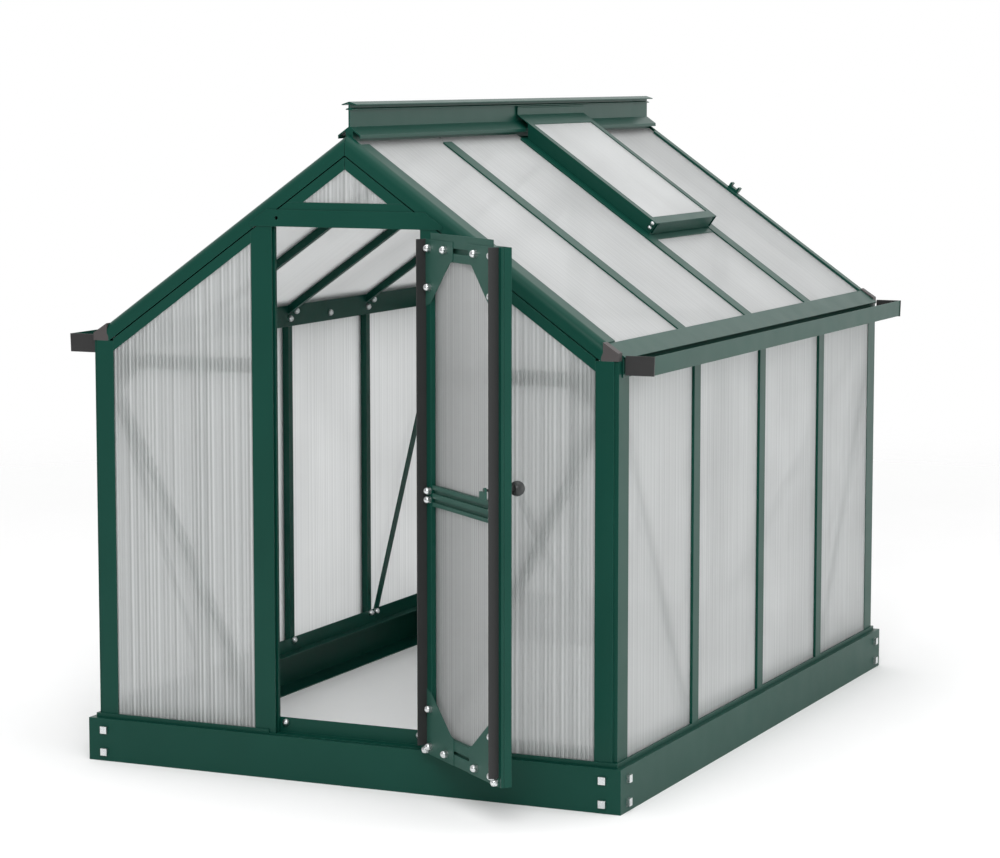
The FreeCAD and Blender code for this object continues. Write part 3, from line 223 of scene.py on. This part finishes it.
def zinc(name):
    """Bright metal with a faint cloudiness and fine turning marks."""
    material, shader, coords = start_finish(name)
    cloud = noise(coords, cloud_scale, detail=4.0)
    marks = noise(coords, turning_scale, detail=2.0)
    link(mix_colour(cloud, zinc_dull, zinc_bright), shader, "Base Color")
    link(0.20 + 0.18 * noise(coords, polish_scale), shader, "Roughness")
    link(bump(marks, strength=0.06, distance=0.0004), shader, "Normal")
    shader.inputs["Metallic"].default_value = 1.0
    return material


bright_zinc = zinc("bright_zinc")
print("metal finish:", bright_zinc.name)

# %% Moulded plastic
# Paler grey of the edges: part wear, part painted highlight.
moulded_edge_wear_and_highlight = (0.11, 0.11, 0.11, 1.0)
moulded_corner = 0.0012
tone_scale, touch_scale, spark_scale = 9.0, 45.0, 1300.0


def moulded(name, low, high, roughness):
    """Plastic between two tones, with a spark grain and paler edges, part wear and part painted
    highlight.
    """
    material, shader, coords = start_finish(name)
    grain = noise(coords, spark_scale, detail=2.0)
    edges, rounded = sharp_edges(coords, moulded_corner)
    tint = mix_colour(noise(coords, tone_scale), low, high)
    # Paler edges: part wear, part painted highlight.
    link(mix_colour(edges * 0.5, tint, moulded_edge_wear_and_highlight), shader, "Base Color")
    link(roughness + 0.12 * noise(coords, touch_scale), shader, "Roughness")
    link(bump(grain, strength=0.18, distance=0.0004, normal=rounded), shader, "Normal")
    return material


gutter_black = moulded("gutter_black", (0.014, 0.014, 0.014, 1.0), (0.023, 0.023, 0.023, 1.0), 0.45)
cap_brown = moulded("cap_brown", (0.046, 0.040, 0.040, 1.0), (0.066, 0.058, 0.058, 1.0), 0.55)
knob_black = moulded("knob_black", (0.011, 0.013, 0.013, 1.0), (0.018, 0.020, 0.020, 1.0), 0.38)
print("plastic finishes:", gutter_black.name, cap_brown.name, knob_black.name)

# %% Rubber
rubber_dark = (0.011, 0.012, 0.012, 1.0)
rubber_pale = (0.020, 0.021, 0.021, 1.0)
rubber_stretch = (420.0, 420.0, 6.0)


def extruded_rubber(name):
    """Black rubber with streaks along its length."""
    material, shader, coords = start_finish(name)
    streak = noise(stretched(coords, rubber_stretch), 1.0)
    link(mix_colour(streak, rubber_dark, rubber_pale), shader, "Base Color")
    link(0.55 + 0.20 * streak, shader, "Roughness")
    link(bump(streak, strength=0.25, distance=0.0008), shader, "Normal")
    return material


seal_rubber = extruded_rubber("seal_rubber")
print("rubber finish:", seal_rubber.name)


# %% [markdown]
# ## Twin-wall sheet
# The glazing is two thin skins of milky polycarbonate joined by ribs. Most of the light is
# scattered and leaves on both sides, so a lit sheet glows from behind too, and a brace close
# to it shows as a soft shadow while the far wall is lost. Glass with a rough transmission would
# do that but stays grainy, and subsurface scattering keeps the inside dark, so each skin mixes
# a Translucent shader into its Principled one. A small part goes straight through, which the
# alpha leaves open. The skins carry shallow flutes over the ribs, drawn a little unevenly, so
# tone and bump repeat at the ribs' pitch and a one-dimensional noise varies the lines.

# %% A fluted sheet
rib_pitch = 0.0135
flute_depth = 0.0010
milk_levels = (0.72, 1.04)
milk_red = 0.99
sheet_index = 1.30
haze_scale = 2.5


def milky(level):
    """A grey of some level, with a trace less red."""
    return (level * milk_red, level, level, 1.0)


def twin_wall(name, across, shade, flute, cover, through):
    """Milky sheet with flutes side by side in the direction across.

    The shade scales its white, a painted level for the light the sheet catches; flute is how strong the
    lines are, cover is the least alpha of a skin, and through is the share of the Translucent shader.
    """
    material, shader, coords = start_finish(name)
    along = dot(coords, across)
    wave = along.node("ShaderNodeMath", {"operation": "SINE"}, {0: along * (2 * math.pi / rib_pitch)})
    lines = {"W": along * (1.0 / rib_pitch), "Scale": 1.0, "Detail": 1.0}
    uneven = along.node("ShaderNodeTexNoise", {"noise_dimensions": "1D"}, lines)
    haze = noise(coords, haze_scale, detail=2.0)
    crest = 0.4 * ramp(wave, -1.0, 1.0) + 0.6 * ramp(uneven, 0.30, 0.70)
    thin, thick = [milky(shade * level) for level in milk_levels]
    milk = mix_colour(flute * crest + (1.0 - flute) * haze, thin, thick)
    link(milk, shader, "Base Color")
    link(0.26 + 0.10 * haze, shader, "Roughness")
    link(cover + 0.12 * flute * crest, shader, "Alpha")
    link(bump(wave, strength=flute, distance=flute_depth), shader, "Normal")
    shader.inputs["IOR"].default_value = sheet_index
    glow = coords.node("ShaderNodeBsdfTranslucent", {}, {"Color": milk})
    skin = {0: through, 1: Value(coords.tree, shader.outputs[0]), 2: glow}
    mixed = coords.node("ShaderNodeMixShader", {}, skin)
    link(mixed, material.node_tree.get_output_node("ALL"), "Surface")
    return material


print("flutes every", rib_pitch, "m")

# %% Sheet finishes
door_open = math.radians(140.2)
across_gable = (1.0, 0.0, 0.0)
across_side = (0.0, 1.0, 0.0)
across_door = (math.cos(door_open), math.sin(door_open), 0.0)
# Each sheet's shade is painted light: one milky plastic is set lighter or darker for the light each
# part catches, the vent a little lighter than the roof, and the door's sheet darkest as painted shade
# for the dimmer light behind it.
gable_sheet = twin_wall("gable_sheet", across_gable, shade=0.93, flute=0.95, cover=0.26, through=0.48)
wall_sheet = twin_wall("wall_sheet", across_side, shade=0.96, flute=0.40, cover=0.46, through=0.55)
roof_sheet = twin_wall("roof_sheet", across_side, shade=0.84, flute=0.30, cover=0.56, through=0.43)
vent_sheet = twin_wall("vent_sheet", across_side, shade=0.90, flute=0.20, cover=0.64, through=0.42)
door_sheet = twin_wall("door_sheet", across_door, shade=0.60, flute=0.90, cover=0.20, through=0.45)
sheet_finishes = (gable_sheet, wall_sheet, roof_sheet, vent_sheet, door_sheet)
print("sheet finishes:", [finish.name for finish in sheet_finishes])

# %% Rib finish
rib_dull = (0.50, 0.52, 0.52, 1.0)
rib_pale = (0.66, 0.68, 0.68, 1.0)
rib_cloud_scale = 14.0
rib_stretch = (90.0, 90.0, 4.0)


def rib_plastic(name):
    """Pale cloudy plastic with faint marks along the rib."""
    material, shader, coords = start_finish(name)
    cloud = noise(coords, rib_cloud_scale)
    marks = noise(stretched(coords, rib_stretch), 1.0)
    link(mix_colour(cloud, rib_dull, rib_pale), shader, "Base Color")
    link(0.35 + 0.15 * cloud, shader, "Roughness")
    link(bump(marks, strength=0.1, distance=0.0005), shader, "Normal")
    return material


sheet_rib = rib_plastic("sheet_rib")
print("rib finish:", sheet_rib.name)


# %% [markdown]
# ## Dressing the frame's own nodes
# Most of the bars already have their true section, with grooves, lips and hollow ends, so they
# only need a finish. Each material slot of a node's object takes the finish that fits it, and
# every node that the table doesn't name is a green bar.

# %% Put finishes on the frame
dressing = [
    (base_green, ["base_front_rail", "base_rear_rail", "base_side_rails", "base_corner_brackets"]),
    (bright_zinc, ["base_bolts", "frame_bolts", "door_bolts", "vent_bolts", "hinge_pins"]),
    (gutter_black, ["gutter_end_caps"]),
    (cap_brown, ["eave_corner_caps"]),
    (knob_black, ["latch_knob"]),
    (seal_rubber, ["door_seals"]),
    (gable_sheet, ["front_panels", "rear_panels", "front_gable_pane"]),
    (wall_sheet, ["right_wall_panels", "left_wall_panels"]),
    (roof_sheet, ["left_roof_panels", "right_roof_panels"]),
    (vent_sheet, ["vent_pane"]),
    (door_sheet, ["door_panes"]),
    (door_lit_green, ["door_top_rail", "door_mid_rail", "door_bottom_rail", "door_gussets", "latch_lever"]),
]
named = {name for _, names in dressing for name in names}
dressing.append((frame_green, sorted(set(nodes) - named)))
for finish, names in dressing:
    for name in names:
        for holder in nodes[name].material_slots:
            holder.material = finish
    print(finish.name, "on", len(names), "nodes")


# %% [markdown]
# ## Ribs inside the sheets
# A twin-wall sheet has a rib every centimetre or so. They repeat by a rule, so a Geometry Nodes
# tree sets them out: points on a line, a thin plate on each, its height read from the sheet's
# sloping top edge.

# %% The rib tree
def rib_tree():
    tree = bpy.data.node_groups.new("sheet_ribs", "GeometryNodeTree")
    face = tree.interface
    face.new_socket("Geometry", in_out="OUTPUT", socket_type="NodeSocketGeometry")
    sizes = ("Pitch", "Start", "Top", "Rise", "Depth", "Thickness")
    face.new_socket("Count", in_out="INPUT", socket_type="NodeSocketInt")
    for name in sizes:
        face.new_socket(name, in_out="INPUT", socket_type="NodeSocketFloat")
    face.new_socket("Finish", in_out="INPUT", socket_type="NodeSocketMaterial")

    def add(kind, inputs, **settings):
        made = tree.nodes.new(kind)
        for key, setting in settings.items():
            setattr(made, key, setting)
        for key, value in inputs.items():
            if hasattr(value, "is_linked"):
                tree.links.new(value, made.inputs[key])
            else:
                made.inputs[key].default_value = value
        return made.outputs

    given = tree.nodes.new("NodeGroupInput").outputs
    offset = add("ShaderNodeCombineXYZ", {0: given["Pitch"]})[0]
    first = add("ShaderNodeCombineXYZ", {0: given["Start"]})[0]
    row = {"Count": given["Count"], "Start Location": first, "Offset": offset}
    line = add("GeometryNodeMeshLine", row)[0]
    place = add("GeometryNodeInputPosition", {})[0]
    across = add("ShaderNodeSeparateXYZ", {0: place})[0]
    grown = add("ShaderNodeMath", {0: across, 1: given["Rise"]}, operation="MULTIPLY")[0]
    height = add("ShaderNodeMath", {0: grown, 1: given["Top"]}, operation="ADD")[0]
    middle = add("ShaderNodeMath", {0: height, 1: 0.5}, operation="MULTIPLY")[0]
    lift = add("ShaderNodeCombineXYZ", {2: middle})[0]
    size = add("ShaderNodeCombineXYZ", {0: given["Thickness"], 1: given["Depth"], 2: height})[0]
    raised = add("GeometryNodeSetPosition", {"Geometry": line, "Offset": lift})[0]
    plate = add("GeometryNodeMeshCube", {})[0]
    plates = {"Points": raised, "Instance": plate, "Scale": size}
    placed = add("GeometryNodeInstanceOnPoints", plates)[0]
    real = add("GeometryNodeRealizeInstances", {0: placed})[0]
    painted = add("GeometryNodeSetMaterial", {"Geometry": real, "Material": given["Finish"]})[0]
    out = tree.nodes.new("NodeGroupOutput")
    tree.links.new(painted, out.inputs[0])
    return tree


ribs = rib_tree()
print("rib tree:", len(ribs.nodes), "nodes")


# %% [markdown]
# ## Laying the ribs in the gable sheets
# Seen nearly square on, the gable sheets show every rib as a fine upright line, so their ribs are
# built. In the walls and the roof, seen at a slant, the flutes of the finish draw them instead,
# and light is free to come in. A gable sheet is given by two distances from the gable's middle,
# its place and its foot, and its top edge falls outwards at the rafters' pitch.

# %% Ribs of one sheet
rib_depth = 0.0050
rib_thickness = 0.0009
roof_pitch = math.radians(35.2)
gable_fall = -math.tan(roof_pitch)


def ribs_of(width, top):
    """Upright ribs across a sheet that starts at the origin, as a plain mesh."""
    holder = bpy.data.objects.new("rib_maker", bpy.data.meshes.new("rib_maker"))
    scene.collection.objects.link(holder)
    modifier = holder.modifiers.new("ribs", "NODES")
    modifier.node_group = ribs
    count = int((width - rib_pitch / 2) / rib_pitch)
    start = (width - (count - 1) * rib_pitch) / 2
    given = {"Count": count, "Pitch": rib_pitch, "Start": start, "Top": top, "Rise": gable_fall,
             "Depth": rib_depth, "Thickness": rib_thickness, "Finish": sheet_rib}
    for item in ribs.interface.items_tree:
        if item.in_out == "INPUT":
            modifier[item.identifier] = given[item.name]
    evaluated = holder.evaluated_get(bpy.context.evaluated_depsgraph_get())
    mesh = bpy.data.meshes.new_from_object(evaluated)
    bpy.data.objects.remove(holder)
    return mesh


print("ribs:", rib_depth, "by", rib_thickness, "m")

# %% Rib mesh of the two gables
gable_peak = 1.91107
gable_y = 1.2485
sheet_foot = 0.1393
pane_foot = 1.7984
wing_inner, wing_outer = 0.317, 0.833
rear_half, pane_half = 0.262, 0.159
sheets = [
    (wing_inner, wing_outer, -gable_y, sheet_foot),
    (wing_inner, wing_outer, gable_y, sheet_foot),
    (0.0, rear_half, gable_y, sheet_foot),
    (0.0, pane_half, -gable_y, pane_foot),
]
vertices, faces = [], []
for inner, outer, y, foot in sheets:
    mesh = ribs_of(outer - inner, gable_peak + gable_fall * inner - foot)
    for side in (-1, 1):
        first = len(vertices)
        vertices += [(side * (inner + v.co.x), y + v.co.y, foot + v.co.z) for v in mesh.vertices]
        for polygon in mesh.polygons:
            turn = polygon.vertices if side == 1 else reversed(polygon.vertices)
            faces.append([first + index for index in turn])
rib_mesh = bpy.data.meshes.new("gable_sheet_ribs")
rib_mesh.from_pydata(vertices, [], faces)
rib_mesh.materials.append(sheet_rib)
gable_sheet_ribs = bpy.data.objects.new("gable_sheet_ribs", rib_mesh)
scene.collection.objects.link(gable_sheet_ribs)
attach(gable_sheet_ribs, "root")
print("gable ribs:", len(faces), "faces")


# %% [markdown]
# ## Floor, light and camera
# The object stands on a pale studio floor that fades into a white surround. The world is plain
# white to the camera and a little weaker as a light. In reflections the studio is dimmer in
# front than behind, so front faces keep a deep green while faces turned to the side and the
# roof's bars catch a grey gloss. Big soft lamps keep the shading even: one overhead, one in
# front, and a low one that lifts the foot of the right-hand wall.

# %% Floor
floor_reach = 14.0
floor_low = (0.90, 0.90, 0.90, 1.0)
floor_high = (0.93, 0.93, 0.93, 1.0)
floor_noise_scale = 1.5
fade_start, fade_end = 3.5, 9.0


def pale_floor():
    """A flat square whose alpha fades with the distance from the object."""
    mesh = bpy.data.meshes.new("studio_floor")
    ends = ((-1, -1), (1, -1), (1, 1), (-1, 1))
    mesh.from_pydata([(floor_reach * x, floor_reach * y, 0) for x, y in ends], [], [(0, 1, 2, 3)])
    floor = bpy.data.objects.new("studio_floor", mesh)
    scene.collection.objects.link(floor)
    material, shader, coords = start_finish("studio_floor")
    tint = mix_colour(noise(coords, floor_noise_scale), floor_low, floor_high)
    distance = coords.node("ShaderNodeVectorMath", {"operation": "LENGTH"}, {0: coords}, output=1)
    link(tint, shader, "Base Color")
    link(1.0 - ramp(distance, fade_start, fade_end), shader, "Alpha")
    shader.inputs["Roughness"].default_value = 0.9
    shader.inputs["IOR"].default_value = 1.05
    mesh.materials.append(material)


pale_floor()
print("floor fades from", fade_start, "to", fade_end, "m")


# %% World
gloss_turn = 0.8


def white_surround(light_level, front_gloss, rear_gloss):
    """White to the camera and through sheets; reflections see it dimmer in front, brighter behind."""
    world = bpy.data.worlds.new("white_surround")
    scene.world = world
    world.use_nodes = True
    tree = world.node_tree
    tree.nodes.clear()
    rays = tree.nodes.new("ShaderNodeLightPath").outputs
    seen = Value(tree, rays["Is Camera Ray"]) + Value(tree, rays["Is Transmission Ray"])
    glossy = Value(tree, rays["Is Glossy Ray"])
    way = Value(tree, tree.nodes.new("ShaderNodeTexCoord").outputs["Generated"])
    rearward = way.node("ShaderNodeSeparateXYZ", {}, {0: way}, output=1)
    gloss = front_gloss + (rear_gloss - front_gloss) * ramp(rearward, -gloss_turn, gloss_turn)
    level = light_level + (1.0 - light_level) * seen + glossy * (gloss - light_level)
    background = tree.nodes.new("ShaderNodeBackground")
    background.inputs["Color"].default_value = (1.0, 1.0, 1.0, 1.0)
    link(level, background, "Strength")
    output = tree.nodes.new("ShaderNodeOutputWorld")
    tree.links.new(background.outputs[0], output.inputs[0])


white_surround(light_level=0.95, front_gloss=0.35, rear_gloss=1.35)
print("world:", scene.world.name)


# %% Lamps
def soft_lamp(name, place, target, size, power):
    """A round soft source that the camera doesn't see."""
    data = bpy.data.lights.new(name, "AREA")
    data.shape = "DISK"
    data.size = size
    data.energy = power
    lamp = bpy.data.objects.new(name, data)
    lamp.location = place
    lamp.rotation_euler = (Vector(target) - Vector(place)).to_track_quat("-Z", "Y").to_euler()
    lamp.visible_camera = False
    scene.collection.objects.link(lamp)
    print(name, power, "W")


soft_lamp("overhead_lamp", (0.5, -1.0, 6.5), (0.0, 0.0, 0.8), size=5.0, power=120.0)
soft_lamp("front_lamp", (2.6, -6.8, 4.4), (0.0, -0.8, 0.6), size=3.0, power=190.0)
soft_lamp("right_lamp", (6.0, -0.4, 1.1), (0.9, -0.2, 0.2), size=2.0, power=45.0)

# %% Camera at the photo's place
camera_place = (4.2640, -9.5483, 2.1929)
camera_drop = 6.636
camera_turn = 24.315
camera_data = bpy.data.cameras.new("photo_camera")
camera_data.sensor_width = 36.0
camera_data.sensor_fit = "HORIZONTAL"
camera_data.lens = 110.44
camera = bpy.data.objects.new("photo_camera", camera_data)
camera.location = camera_place
camera.rotation_euler = (math.radians(90.0 - camera_drop), 0.0, math.radians(camera_turn))
scene.collection.objects.link(camera)
scene.camera = camera
scene.view_settings.view_transform = "Standard"
print("camera at", to_millimetre(camera.location))
